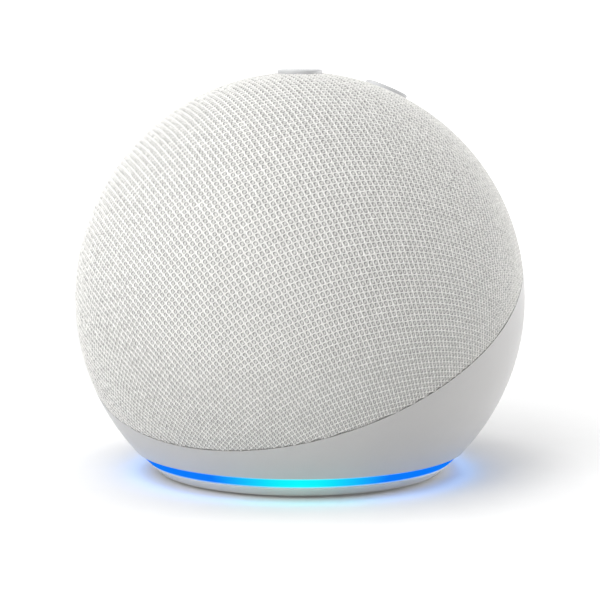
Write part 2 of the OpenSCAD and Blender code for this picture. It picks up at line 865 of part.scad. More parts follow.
module driver_basket() {
    spider_land_r = 14.6;
    base_z = -plate_depth + seat;
    color([0.2, 0.2, 0.22]) in_driver() difference() {
        union() {
            band(basket_r, driver_r, -flange_t, 0);
            for (a = [45 : 90 : 315]) {
                rotate([0, 0, a]) translate([driver_ear_x, 0, -flange_t])
                    cylinder(r = driver_ear_r, h = flange_t);
            }
            rotate_extrude() polygon([
                [basket_r + 0.5, 0], [basket_r + 0.5, -4], [spider_land_r + 1, spider_z - 0.6],
                [spider_land_r + 1, base_z], [8.5, base_z], [8.5, base_z + 1.2],
                [spider_land_r - 1.4, base_z + 1.2], [spider_land_r - 1.4, spider_z - 0.3],
                [spider_land_r, spider_z - 0.3], [spider_land_r, spider_z + 1],
                [basket_r - basket_wall, -4], [basket_r - basket_wall, 0]
            ]);
        }
        translate([0, 0, -1.2]) cylinder(r = basket_r + seat, h = 3);
        for (a = [45 : 90 : 315]) {
            rotate([0, 0, a]) translate([driver_ear_x, 0, -flange_t - 1])
                cylinder(r = screw_r + 0.2, h = flange_t + 2);
        }
        for (a = [0 : 60 : 300]) {
            rotate([0, 0, a + 30]) translate([12, 0, -6.4]) rotate([0, 90, 0]) cylinder(r = 1.7, h = 10);
        }
    }
}

module driver_gasket() {
    color([0.1, 0.1, 0.1]) in_driver() {
        band(basket_r + 1.1, driver_r - 0.2, -flange_t - gasket_t + seat, -flange_t - seat);
    }
}

module driver_screws() {
    color([0.7, 0.7, 0.7]) in_driver() for (a = [45 : 90 : 315]) {
        rotate([0, 0, a]) translate([driver_ear_x, 0, seat]) mirror([0, 0, 1]) screw(6);
    }
}

module driver_top_plate() {
    color([0.6, 0.62, 0.65]) in_driver() {
        band(former_r + coil_t + coil_gap, magnet_r - 1, -plate_depth - plate_t, -plate_depth);
    }
}

module driver_magnet() {
    top_z = -plate_depth - plate_t - seat;
    color([0.2, 0.2, 0.2]) in_driver() band(former_r + 2, magnet_r, top_z - magnet_t, top_z);
}

module driver_yoke() {
    top_z = -plate_depth - plate_t - magnet_t - 2 * seat;
    color([0.6, 0.62, 0.65]) in_driver() union() {
        translate([0, 0, top_z - yoke_t]) cylinder(r = magnet_r - 1, h = yoke_t);
        translate([0, 0, top_z - 1]) cylinder(r = pole_r, h = -plate_depth - top_z + 1);
    }
}

module driver_cone() {
    wall = 0.6;
    color([0.15, 0.15, 0.16]) in_driver() rotate_extrude() polygon([
        [cone_r, 0], [cone_r, wall], [cone_r - 1, wall], [former_r + 0.4 + wall, -6.6 + wall],
        [former_r + seat, -6.6 + wall], [former_r + seat, -7.2], [former_r + 0.4, -7.2], [cone_r - 1, 0]
    ]);
}

module dust_cap() {
    cap_r = former_r + 0.5;
    cap_h = 2.4;
    ball_r = (cap_r * cap_r + cap_h * cap_h) / (2 * cap_h);
    cap_z = -5.95;
    color([0.1, 0.1, 0.1]) in_driver() intersection() {
        difference() {
            translate([0, 0, cap_z + cap_h - ball_r]) sphere(r = ball_r);
            translate([0, 0, cap_z + cap_h - ball_r]) sphere(r = ball_r - 0.5);
        }
        translate([0, 0, cap_z]) cylinder(r = cap_r + 1, h = cap_h + 1);
    }
}

module voice_coil() {
    coil_mid = -plate_depth - plate_t / 2;
    coil_reach = plate_t / 2 + cone_travel;
    color([0.8, 0.45, 0.2]) in_driver() union() {
        band(former_r - 0.4, former_r, coil_mid - coil_reach - 0.3, -6.05);
        band(former_r - 0.1, former_r + coil_t, coil_mid - coil_reach, coil_mid + coil_reach);
    }
}

// Half roll of rubber between the cone's edge and the basket
module driver_surround() {
    roll_in = cone_r + 0.1;
    roll_out = basket_r - 0.5;
    roll_mid = (roll_in + roll_out) / 2;
    roll_r = (roll_out - roll_in) / 2;
    wall = 0.4;
    color([0.08, 0.08, 0.08]) in_driver() union() {
        rotate_extrude() difference() {
            translate([roll_mid, 0]) circle(r = roll_r);
            translate([roll_mid, 0]) circle(r = roll_r - wall);
            translate([0, -2 * roll_r]) square([2 * basket_r, 2 * roll_r]);
        }
        band(cone_r - 1.4, roll_in + wall, 0.65, 1);
        band(roll_out - wall / 2, basket_r + 1.6, 0.05, 0.45);
    }
}

module driver_spider() {
    color([0.75, 0.65, 0.4]) in_driver() rotate_extrude() polygon([
        [former_r + 0.1, spider_z - 0.2], [8.6, spider_z - 0.2], [9.4, spider_z + 0.4],
        [10.2, spider_z - 0.2], [11, spider_z + 0.4], [11.8, spider_z - 0.2], [14.4, spider_z - 0.2], [14.4, spider_z + 0.1],
        [11.9, spider_z + 0.1], [11, spider_z + 0.8], [10.2, spider_z + 0.2], [9.4, spider_z + 0.8],
        [8.5, spider_z + 0.1], [former_r + 0.1, spider_z + 0.1]
    ]);
}

module driver_terminal() {
    color([0.3, 0.25, 0.15]) in_driver() block(lead_x, 0, -14.2, [1.6, 5, 1.5]);
}

rear_housing();
grille_frame();
fabric_cover();
hem_ring();
button_volume_up();
button_volume_down();
button_action();
button_mic_off();
key_carrier();
tact_switches();
key_board();
key_board_screws();
carrier_screws();
microphones();
light_ring();
light_board();
ring_lamps();
base_cover();
rubber_foot();
base_screws();
main_board();
board_screws();
shield_cans();
board_chips();
heat_spreader();
thermal_pad();
antennas();
dc_inlet();
dc_inlet_pin();
audio_socket();
ribbon_cable();
ribbon_connector();
speaker_lead();
speaker_plug();
chamber_front();
chamber_rear();
chamber_seal();
chamber_screws();
chamber_foot_screws();
driver_basket();
driver_gasket();
driver_screws();
driver_top_plate();
driver_magnet();
driver_yoke();
driver_cone();
dust_cap();
voice_coil();
driver_surround();
driver_spider();
driver_terminal();
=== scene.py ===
"""Looks of a round desktop smart speaker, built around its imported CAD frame.

The CAD pieces keep their shapes and get their real finishes. The knitted cover and the printed key
marks are built here. Lengths are in metres, and names that end in _mm are in millimetres.
"""

import json
import logging
import math
from abc import ABC, abstractmethod
from dataclasses import dataclass
from enum import Enum

import bpy
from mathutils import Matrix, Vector


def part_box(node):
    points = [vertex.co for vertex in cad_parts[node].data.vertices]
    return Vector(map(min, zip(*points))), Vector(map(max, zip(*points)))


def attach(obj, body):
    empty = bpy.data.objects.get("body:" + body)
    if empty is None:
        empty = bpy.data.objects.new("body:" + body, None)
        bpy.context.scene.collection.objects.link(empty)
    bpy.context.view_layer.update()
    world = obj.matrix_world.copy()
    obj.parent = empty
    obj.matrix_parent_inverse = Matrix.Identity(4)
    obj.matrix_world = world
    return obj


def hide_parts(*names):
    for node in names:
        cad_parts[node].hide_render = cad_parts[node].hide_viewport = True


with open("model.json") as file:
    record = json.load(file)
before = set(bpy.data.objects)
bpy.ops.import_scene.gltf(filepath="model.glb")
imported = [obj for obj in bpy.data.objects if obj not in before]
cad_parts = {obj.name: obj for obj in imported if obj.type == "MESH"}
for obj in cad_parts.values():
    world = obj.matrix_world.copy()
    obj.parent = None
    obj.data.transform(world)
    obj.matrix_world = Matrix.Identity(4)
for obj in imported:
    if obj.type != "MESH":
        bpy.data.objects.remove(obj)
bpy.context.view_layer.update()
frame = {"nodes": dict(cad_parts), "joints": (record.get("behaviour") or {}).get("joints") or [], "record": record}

LOG = logging.getLogger("speaker")
MM = 0.001

SEAM_TILT = math.radians(30)
SEAM_DROP_MM = 2.7
KEY_PROUD_MM = 0.53
KEY_DISH_MM = 0.25
KEY_DISH_HALF_MM = 4.4
KEY_HOLE_MM = 5.15
VIEW_AZIMUTH = math.radians(29.8)
VIEW_HEIGHT = math.radians(7.25)

BODY_RADIUS = (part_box("fabric_cover")[1].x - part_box("fabric_cover")[0].x) / 2
BODY_CENTRE = Vector((0, 0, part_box("button_volume_down")[1].z - BODY_RADIUS - KEY_PROUD_MM * MM))

Tree = bpy.types.NodeTree
Node = bpy.types.Node
Socket = bpy.types.NodeSocket


def colour(code: str) -> tuple[float, float, float, float]:
    """Turns an sRGB hex value to the linear colour that shaders take.

    Args:
        code: The colour as "#rrggbb".

    Returns:
        Linear red, green and blue, and an alpha of 1.
    """
    parts = [int(code[i:i + 2], 16) / 255 for i in (1, 3, 5)]
    linear = [c / 12.92 if c <= 0.04045 else ((c + 0.055) / 1.055) ** 2.4 for c in parts]
    return (*linear, 1.0)


def put(tree: Tree, kind: str, inputs: dict | None = None, **settings: object) -> Node:
    """Adds a node to a tree, with its settings and links.

    Args:
        tree: The material, world or geometry tree.
        kind: The node's type name.
        inputs: Values or output sockets for its inputs, by name or number.
        settings: The node's own properties.

    Returns:
        The new node.
    """
    node = tree.nodes.new(kind)
    for name, value in settings.items():
        setattr(node, name, value)
    for key, value in (inputs or {}).items():
        if isinstance(value, Socket):
            tree.links.new(value, node.inputs[key])
        else:
            node.inputs[key].default_value = value
    return node


def maths(tree: Tree, operation: str, *values: float | Socket) -> Socket:
    """Works out one number in a tree.

    Args:
        tree: The tree.
        operation: The sum to do.
        values: Numbers or sockets, in the node's order.

    Returns:
        The result's socket.
    """
    return put(tree, "ShaderNodeMath", dict(enumerate(values)), operation=operation).outputs[0]


def vectors(tree: Tree, operation: str, *values: object, out: int = 0) -> Socket:
    """Works out one vector, or one number from vectors, in a tree.

    Args:
        tree: The tree.
        operation: The sum to do.
        values: Vectors or sockets, in the node's order.
        out: Which output to take: 0 is a vector and 1 a number.

    Returns:
        The result's socket.
    """
    return put(tree, "ShaderNodeVectorMath", dict(enumerate(values)), operation=operation).outputs[out]


def scaled(tree: Tree, vector: Socket | Vector, by: Socket) -> Socket:
    """Scales a vector by a number in a tree.

    Args:
        tree: The tree.
        vector: The vector.
        by: The number's socket.

    Returns:
        The scaled vector's socket.
    """
    return put(tree, "ShaderNodeVectorMath", {0: vector, "Scale": by}, operation="SCALE").outputs[0]


def ramp(tree: Tree, factor: Socket, stops: list[tuple[float, str]]) -> Socket:
    """Turns a number to a colour.

    Args:
        tree: The material's tree.
        factor: The number, 0 to 1.
        stops: Places along it, each with its colour.

    Returns:
        The colour's socket.
    """
    node = put(tree, "ShaderNodeValToRGB", {0: factor})
    elements = node.color_ramp.elements
    while len(elements) < len(stops):
        elements.new(1.0)
    for element, (place, code) in zip(elements, stops):
        element.position = place
        element.color = colour(code)
    return node.outputs[0]


class Finish(ABC):
    """One real material with its surface: how it is coloured, how rough it is and what it feels like."""

    name: str

    def material(self) -> bpy.types.Material:
        """Builds the finish as a Blender material.

        Returns:
            The new material.
        """
        made = bpy.data.materials.new(self.name)
        made.use_nodes = True
        tree = made.node_tree
        tree.nodes.clear()
        shader = put(tree, "ShaderNodeBsdfPrincipled")
        put(tree, "ShaderNodeOutputMaterial", {0: shader.outputs[0]})
        place = put(tree, "ShaderNodeTexCoord").outputs["Object"]
        self.shade(tree, shader, place)
        return made

    @abstractmethod
    def shade(self, tree: Tree, shader: Node, place: Socket) -> None:
        """Sets the shader.

        Args:
            tree: The material's tree.
            shader: Its Principled shader.
            place: The point on the piece, in metres.
        """

    @staticmethod
    def noise(tree: Tree, place: Socket, size_mm: float, detail: float = 2.0) -> Socket:
        """Gives an even random pattern.

        Args:
            tree: The material's tree.
            place: The point on the piece, in metres.
            size_mm: How wide its grains are.
            detail: How many finer layers lie on top.

        Returns:
            The pattern's socket, 0 to 1.
        """
        scale = 1 / (size_mm * MM)
        return put(tree, "ShaderNodeTexNoise",
                   {"Vector": place, "Scale": scale, "Detail": detail}).outputs["Fac"]

    @staticmethod
    def between(tree: Tree, factor: Socket, low: float, high: float) -> Socket:
        """Spreads a random pattern, which keeps near its middle, between two values.

        Args:
            tree: The material's tree.
            factor: The pattern.
            low: Its value in the troughs.
            high: Its value on the crests.

        Returns:
            The spread pattern's socket.
        """
        return put(tree, "ShaderNodeMapRange", {0: factor, 1: 0.3, 2: 0.7, 3: low, 4: high}).outputs[0]

    @staticmethod
    def relief(tree: Tree, shader: Node, height: Socket, depth_mm: float) -> None:
        """Lets a pattern stand proud in the light.

        Args:
            tree: The material's tree.
            shader: Its Principled shader.
            height: The pattern.
            depth_mm: How far its crests stand out.
        """
        bump = put(tree, "ShaderNodeBump", {"Strength": 1.0, "Distance": depth_mm * MM, "Height": height})
        tree.links.new(bump.outputs[0], shader.inputs["Normal"])


@dataclass(frozen=True)
class Moulded(Finish):
    """Moulded plastic or rubber with the spark-eroded texture of its mould.

    Two close shades, grains of grain_mm and an uneven gloss keep it from looking painted. The grains
    are coarser than a real mould's, because those are too fine to show.
    """

    name: str
    light: str
    dark: str
    rough: float
    grain_mm: float
    depth_mm: float
    ior: float = 1.50
    sheen: float = 0.0
    through: float = 0.0
    cloud_mm: float = 9.0
    bleed_mm: float = 0.5

    def shade(self, tree: Tree, shader: Node, place: Socket) -> None:
        """Sets colour, gloss and grain.

        Args:
            tree: The material's tree.
            shader: Its Principled shader.
            place: The point on the piece, in metres.
        """
        cloud = self.noise(tree, place, self.cloud_mm, 3.0)
        grain = self.noise(tree, place, self.grain_mm)
        mottle = maths(tree, "MULTIPLY_ADD", grain, 0.5, maths(tree, "MULTIPLY", cloud, 0.5))
        spread = self.between(tree, mottle, 0.0, 1.0)
        tree.links.new(ramp(tree, spread, [(0, self.dark), (1, self.light)]), shader.inputs["Base Color"])
        gloss = self.between(tree, grain, self.rough - 0.05, self.rough + 0.07)
        tree.links.new(gloss, shader.inputs["Roughness"])
        shader.inputs["IOR"].default_value = self.ior
        shader.inputs["Sheen Weight"].default_value = self.sheen
        shader.inputs["Subsurface Weight"].default_value = self.through
        shader.inputs["Subsurface Scale"].default_value = self.bleed_mm * MM
        self.relief(tree, shader, grain, self.depth_mm)


@dataclass(frozen=True)
class Metal(Finish):
    """Plated, rolled or turned metal: fine drawn lines and a gloss that changes from place to place.

    The lines are drawn wider than real ones, because those are too fine to show.
    """

    name: str
    light: str
    dark: str
    rough: float
    line_mm: float
    stretch: float = 12.0
    cloud_mm: float = 3.0
    line_depth_mm: float = 0.004

    def shade(self, tree: Tree, shader: Node, place: Socket) -> None:
        """Sets colour, gloss and the lines of the rolling.

        Args:
            tree: The material's tree.
            shader: Its Principled shader.
            place: The point on the piece, in metres.
        """
        drawn = put(tree, "ShaderNodeMapping", {"Vector": place, "Scale": (1.0, 1 / self.stretch, 1.0)})
        lines = self.noise(tree, drawn.outputs[0], self.line_mm, 4.0)
        cloud = self.noise(tree, place, self.cloud_mm, 3.0)
        shade = self.between(tree, cloud, 0.0, 1.0)
        tree.links.new(ramp(tree, shade, [(0, self.dark), (1, self.light)]), shader.inputs["Base Color"])
        shader.inputs["Metallic"].default_value = 1.0
        gloss = self.between(tree, lines, self.rough - 0.08, self.rough + 0.10)
        tree.links.new(gloss, shader.inputs["Roughness"])
        self.relief(tree, shader, lines, self.line_depth_mm)


@dataclass(frozen=True)
class SolderMask(Finish):
    """Solder mask over a glass-epoxy board: glossy green with copper tracks that show a lighter green."""

    name: str
    mask: str
    track: str
    pad: str
    pitch_mm: float = 1.27
    pad_share: float = 0.12
    track_depth_mm: float = 0.03

    def shade(self, tree: Tree, shader: Node, place: Socket) -> None:
        """Sets tracks, pads and the coat of mask.

        Args:
            tree: The material's tree.
            shader: Its Principled shader.
            place: The point on the piece, in metres.
        """
        tracks = put(tree, "ShaderNodeTexBrick", {
            "Vector": place, "Color1": colour(self.mask), "Color2": colour(self.mask),
            "Mortar": colour(self.track), "Scale": 1 / (self.pitch_mm * MM * 4), "Mortar Size": 0.05,
            "Mortar Smooth": 0.2, "Brick Width": 1.6, "Row Height": 0.4})
        dots = put(tree, "ShaderNodeTexVoronoi", {"Vector": place, "Scale": 1 / (self.pitch_mm * MM * 2.5)})
        near = maths(tree, "LESS_THAN", dots.outputs["Distance"], self.pad_share)
        mix = put(tree, "ShaderNodeMix", {"Factor": near, 6: tracks.outputs["Color"], 7: colour(self.pad)},
                  data_type="RGBA")
        tree.links.new(mix.outputs[2], shader.inputs["Base Color"])
        rough = self.between(tree, self.noise(tree, place, 0.8), 0.28, 0.4)
        tree.links.new(rough, shader.inputs["Roughness"])
        shader.inputs["Coat Weight"].default_value = 0.3
        self.relief(tree, shader, tracks.outputs["Fac"], self.track_depth_mm)


@dataclass(frozen=True)
class Wound(Finish):
    """Something laid in even lines: enamelled wire, a corrugated cloth or the tracks of a ribbon, with painted
    shade in the grooves of the wire and the cloth.
    """

    name: str
    crest: str
    groove_shade_and_track: str
    pitch_mm: float
    axis: str
    metallic: float
    rough: float

    def shade(self, tree: Tree, shader: Node, place: Socket) -> None:
        """Sets the lines and their relief.

        Args:
            tree: The material's tree.
            shader: Its Principled shader.
            place: The point on the piece, in metres.
        """
        lines = put(tree, "ShaderNodeTexWave", {
            "Vector": place, "Scale": 0.314 / (self.pitch_mm * MM), "Distortion": 0.4, "Detail": 1.0,
            "Detail Scale": 2.0}, bands_direction=self.axis).outputs["Fac"]
        speck = self.noise(tree, place, 0.25)
        height = maths(tree, "MULTIPLY_ADD", speck, 0.3, maths(tree, "MULTIPLY", lines, 0.7))
        # The groove colour is painted shade between the wire's turns and the cloth's ridges, and the ribbon's real
        # copper tracks.
        tree.links.new(ramp(tree, height, [(0.1, self.groove_shade_and_track), (0.8, self.crest)]),
                       shader.inputs["Base Color"])
        shader.inputs["Metallic"].default_value = self.metallic
        gloss = self.between(tree, speck, self.rough - 0.06, self.rough + 0.08)
        tree.links.new(gloss, shader.inputs["Roughness"])
        self.relief(tree, shader, height, self.pitch_mm * 0.15)


@dataclass(frozen=True)
class LitDiffuser(Finish):
    """Frosted polycarbonate ring lit by lamps behind it.

    The light is cyan where the ring faces the listener and turns blue to both sides. Its two edges,
    where less plastic covers the light guide, look paler.
    """

    name: str
    facing: float
    bottom: float
    top: float
    edge_mm: float = 0.36
    spread_deg: float = 32.0
    power: float = 1.0
    frost_mm: float = 0.6
    frost_depth_mm: float = 0.01

    def shade(self, tree: Tree, shader: Node, place: Socket) -> None:
        """Sets the glow around the ring, its lamps and its edges.

        Args:
            tree: The material's tree.
            shader: Its Principled shader.
            place: The point on the piece, in metres.
        """
        flat = vectors(tree, "NORMALIZE", vectors(tree, "MULTIPLY", place, (1.0, 1.0, 0.0)))
        towards = (math.sin(self.facing), -math.cos(self.facing), 0.0)
        cosine = vectors(tree, "DOT_PRODUCT", flat, towards, out=1)
        angle = maths(tree, "ARCCOSINE", maths(tree, "MINIMUM", cosine, 1.0))
        turn = maths(tree, "DIVIDE", angle, math.radians(self.spread_deg))
        glow = ramp(tree, turn, [(0.0, "#04fbff"), (0.2, "#06f2fb"), (0.36, "#06e0fa"), (0.49, "#0cccfb"),
                                 (0.61, "#0abbfa"), (0.76, "#0ca2fb"), (1.0, "#0077fa")])
        height = put(tree, "ShaderNodeSeparateXYZ", {0: place}).outputs["Z"]
        inset = maths(tree, "MINIMUM", maths(tree, "SUBTRACT", height, self.bottom),
                      maths(tree, "SUBTRACT", self.top, height))
        rim = maths(tree, "SUBTRACT", 1.0, maths(tree, "DIVIDE", inset, self.edge_mm * MM))
        frost = self.noise(tree, place, self.frost_mm)
        pale = maths(tree, "MULTIPLY", put(tree, "ShaderNodeClamp", {0: rim}).outputs[0],
                     self.between(tree, frost, 0.6, 0.75))
        lit = put(tree, "ShaderNodeMix", {"Factor": pale, 6: glow, 7: colour("#bfeaff")}, data_type="RGBA")
        tree.links.new(lit.outputs[2], shader.inputs["Emission Color"])
        shader.inputs["Emission Strength"].default_value = self.power
        shader.inputs["Base Color"].default_value = colour("#10202c")
        shader.inputs["Specular IOR Level"].default_value = 0.0
        tree.links.new(self.between(tree, frost, 0.3, 0.42), shader.inputs["Roughness"])
        self.relief(tree, shader, frost, self.frost_depth_mm)


@dataclass(frozen=True)
class Knit(Finish):
    """Open honeycomb knit of matt polyester yarn.

    Pale ribs stand around each cell. Inside a rib lies a darker loop, open on one side, around a
    lighter middle; the loop's darkness is painted shade in the cell's pit. Loose fibres give it a soft sheen.
    """

    name: str
    layer: str = "UVMap"
    narrow: float = 1.12
    opening: float = 0.12
    fibre_mm: float = 0.16
    stray_mm: float = 0.9
    stray: float = 0.46
    cloud_mm: float = 1.6
    relief_mm: float = 0.10

    def shade(self, tree: Tree, shader: Node, place: Socket) -> None:
        """Draws a cell from its own coordinates, then adds fibres and relief.

        Args:
            tree: The material's tree.
            shader: Its Principled shader.
            place: The point on the piece, in metres.
        """
        cell = put(tree, "ShaderNodeUVMap", uv_map=self.layer).outputs[0]
        fibre = self.noise(tree, place, self.fibre_mm, 3.0)
        stray = put(tree, "ShaderNodeTexNoise", {"Vector": place, "Scale": 1 / (self.stray_mm * MM)})
        centred = vectors(tree, "SUBTRACT", stray.outputs["Color"], (0.5, 0.5, 0.5))
        bend = vectors(tree, "MULTIPLY", centred, (self.stray, self.stray, 0.0))
        local = vectors(tree, "ADD", vectors(tree, "MULTIPLY_ADD", cell, (2.0, 2.0, 0.0), (-1.0, -1.0, 0.0)),
                        bend)
        part = put(tree, "ShaderNodeSeparateXYZ", {0: local})
        x, y = part.outputs["X"], part.outputs["Y"]
        rising = maths(tree, "ABSOLUTE", maths(tree, "MULTIPLY", maths(tree, "ADD", x, y), self.narrow))
        falling = maths(tree, "ABSOLUTE", maths(tree, "SUBTRACT", y, x))
        cubes = maths(tree, "ADD", maths(tree, "POWER", rising, 3.0), maths(tree, "POWER", falling, 3.0))
        reach = maths(tree, "POWER", cubes, 1 / 3)
        # Painted shade: the loop's grey stops lie where the cell dips into its pit.
        loop = ramp(tree, reach, [(0.0, "#e8e7e4"), (0.28, "#d8d7d4"), (0.48, "#b4b3b1"), (0.62, "#979694"),
                                  (0.74, "#9a9998"), (0.84, "#cfcecb"), (0.93, "#f3f2ef"), (1.0, "#fbfaf7")])
        turn = maths(tree, "ADD", maths(tree, "ARCTAN2", y, x), self.opening)
        gap = put(tree, "ShaderNodeMapRange", {
            0: maths(tree, "ABSOLUTE", maths(tree, "SINE", turn)), 1: 0.62, 2: 1.0, 3: 0.0, 4: 0.6})
        loop = put(tree, "ShaderNodeMix", {"Factor": gap.outputs[0], 6: loop, 7: colour("#d7d6d3")},
                   data_type="RGBA").outputs[2]
        cloud = self.noise(tree, place, self.cloud_mm, 3.0)
        lint = self.between(tree, fibre, 0.86, 1.06)
        tone = maths(tree, "MULTIPLY", lint, self.between(tree, cloud, 0.95, 1.04))
        tree.links.new(scaled(tree, loop, tone), shader.inputs["Base Color"])
        shader.inputs["Roughness"].default_value = 0.95
        shader.inputs["Specular IOR Level"].default_value = 0.15
        shader.inputs["Sheen Weight"].default_value = 0.04
        shader.inputs["Sheen Roughness"].default_value = 0.6
        height = maths(tree, "MULTIPLY_ADD", fibre, 0.35, reach)
        self.relief(tree, shader, height, self.relief_mm)


LIGHT_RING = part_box("light_ring")

FINISHES: dict[str, Finish] = {
    # Even pale satin shell with a soft, wide highlight.
    "housing_plastic": Moulded("moulded_abs_satin_white", "#c0bfbe", "#bcbbba", 0.33, 0.35, 0.004),
    # Plain grey, seen only through gaps in the knit.
    "grille_plastic": Moulded("moulded_abs_grey", "#a2a2a4", "#98989a", 0.6, 0.4, 0.01),
    # Matt white cells with painted shade in their pits, so that the ball looks woven and soft.
    "knit_fabric": Knit("knitted_polyester_white"),
    # A little smoother and cooler than the knit, so that the keys read as caps.
    "key_plastic": Moulded("moulded_abs_satin_key", "#d0d1d2", "#cccdce", 0.42, 0.3, 0.005),
    # Dark and dull: the printed marks and the parts behind the openings.
    "inner_plastic": Moulded("moulded_abs_dark_grey", "#47484b", "#3c3d40", 0.55, 0.5, 0.012),
    # A bright even band, cyan in front and blue at the sides.
    "ring_diffuser": LitDiffuser("frosted_polycarbonate_lit", VIEW_AZIMUTH, LIGHT_RING[0].z, LIGHT_RING[1].z),
    # Light warm grey that takes the glow of the ring above it.
    "base_plastic": Moulded("moulded_abs_base_grey", "#e2e0da", "#dddbd5", 0.5, 0.35, 0.006),
    # Dull grey with no highlight, where the speaker meets the table.
    "foot_rubber": Moulded("moulded_silicone_rubber", "#9c9ea0", "#909294", 0.75, 0.5, 0.03, 1.42, 0.1),
    # Glossy green with fine lighter tracks and gold pads.
    "circuit_board": SolderMask("solder_mask_green", "#14552f", "#1f7342", "#c9a45c"),
    # Near black with a small soft highlight.
    "black_plastic": Moulded("moulded_nylon_black", "#1b1b1d", "#131315", 0.5, 0.4, 0.012, 1.53),
    # Milky cream that lets a little light in.
    "connector_plastic": Moulded("moulded_nylon_cream", "#e2dfd0", "#d8d4c3", 0.45, 0.4, 0.01, 1.53, 0, 0.1),
    # Bright and milky, like a small lit window.
    "lamp_case": Moulded("moulded_lamp_case_white", "#f3f1e2", "#e9e6cf", 0.35, 0.3, 0.005, 1.53, 0, 0.2),
    # Grey metal with fine turned lines.
    "steel": Metal("zinc_plated_steel", "#c3c5c8", "#a6a9ad", 0.34, 0.12),
    # Bright sheet with long faint rolling lines.
    "tin_plate": Metal("tin_plated_sheet", "#d0d1d3", "#b9bbbe", 0.28, 0.10, 20.0),
    # Pale sheet with the finest and longest lines.
    "spreader_alloy": Metal("rolled_aluminium_sheet", "#dadbde", "#c6c8cb", 0.38, 0.08, 30.0),
    # Soft bluish grey with no shine at all.
    "pad_rubber": Moulded("silicone_gap_filler", "#9aa6bd", "#8b97af", 0.85, 0.6, 0.04, 1.42),
    # Pale gold, slightly uneven.
    "mic_brass": Metal("nickel_gold_plated_brass", "#e0cf98", "#cbb87e", 0.3, 0.10),
    # Bright gold with turned rings.
    "pin_brass": Metal("turned_plated_brass", "#e6d3a0", "#cfba84", 0.22, 0.06),
    # Amber film with darker copper tracks inside.
    "ribbon_film": Wound("polyimide_ribbon_with_tracks", "#d99a3c", "#8a4f14", 0.5, "X", 0.1, 0.35),
    # Clear red with a soft gleam along the wire.
    "wire_rubber": Moulded("extruded_pvc_red", "#a3191c", "#8c1417", 0.45, 0.6, 0.01, 1.53),
    # Black foam with visible pores.
    "seal_rubber": Moulded("die_cut_foam_black", "#1d1d1d", "#0f0f0f", 0.92, 0.35, 0.08, 1.45),
    # Fine powder coat, black and slightly rough.
    "basket_steel": Moulded("powder_coated_steel_black", "#2b2c2e", "#222325", 0.6, 0.25, 0.02, 1.5),
    # Dark stone grey that glints where it was ground.
    "magnet_ferrite": Moulded("sintered_ferrite_ground", "#3a3a3d", "#2b2b2e", 0.5, 0.2, 0.012, 2.2),
    # Dull black fibre.
    "cone_paper": Moulded("pressed_paper_cone_black", "#232325", "#19191b", 0.8, 0.3, 0.03, 1.45, 0.1),
    # Deep black with a soft sheen on its roll.
    "surround_rubber": Moulded("moulded_butyl_rubber", "#141414", "#0d0d0d", 0.62, 0.6, 0.01, 1.5),
    # Tan cloth in even ridges, with painted shade in the troughs between them.
    "spider_cloth": Wound("resin_treated_cotton_cloth", "#c9ad6a", "#94783e", 0.45, "X", 0.0, 0.8),
    # Orange wire laid in tight even turns, with painted shade between them.
    "coil_copper": Wound("enamelled_copper_wire", "#d8814a", "#7a3c1b", 0.3, "Y", 0.9, 0.3),
}


class Finishes:
    """The shop's finishes, each made once and given to every piece that uses it."""

    def __init__(self) -> None:
        """Starts with none made."""
        self.made: dict[str, bpy.types.Material] = {}

    def get(self, slot: str) -> bpy.types.Material:
        """Gets a slot's material, and builds it the first time.

        Args:
            slot: One of the record's material slots.

        Returns:
            The slot's material.
        """
        if slot not in self.made:
            self.made[slot] = FINISHES[slot].material()
        return self.made[slot]

    def dress_frame(self) -> None:
        """Gives every CAD node the finish that the record names for it."""
        for entry in frame["record"]["subparts"]:
            node = frame["nodes"][entry["node"]]
            finish = self.get(entry["material_slot"])
            for i in range(len(node.data.materials)):
                node.data.materials[i] = finish
            LOG.info("dressed %s in %s", node.name, finish.name)


def link(name: str, mesh: bpy.types.Mesh) -> bpy.types.Object:
    """Puts a mesh in the scene as an object at the origin.

    Args:
        name: The object's name.
        mesh: Its mesh.

    Returns:
        The new object.
    """
    made = bpy.data.objects.new(name, mesh)
    bpy.context.scene.collection.objects.link(made)
    return made


def key_direction(body: str) -> Vector:
    """Finds the direction from the ball's centre to a key, which is pressed straight inward.

    Args:
        body: The key's body.

    Returns:
        The direction, of length 1.
    """
    joint = next(j for j in frame["joints"] if j["child"] == body)
    return -Vector(joint["axis"]).normalized()


class KeyMark(Enum):
    """The generic mark on each key, by the body that carries it."""

    PLUS = "volume_up_key"
    MINUS = "volume_down_key"
    DOT = "action_key"
    MIC_OFF = "mic_off_key"


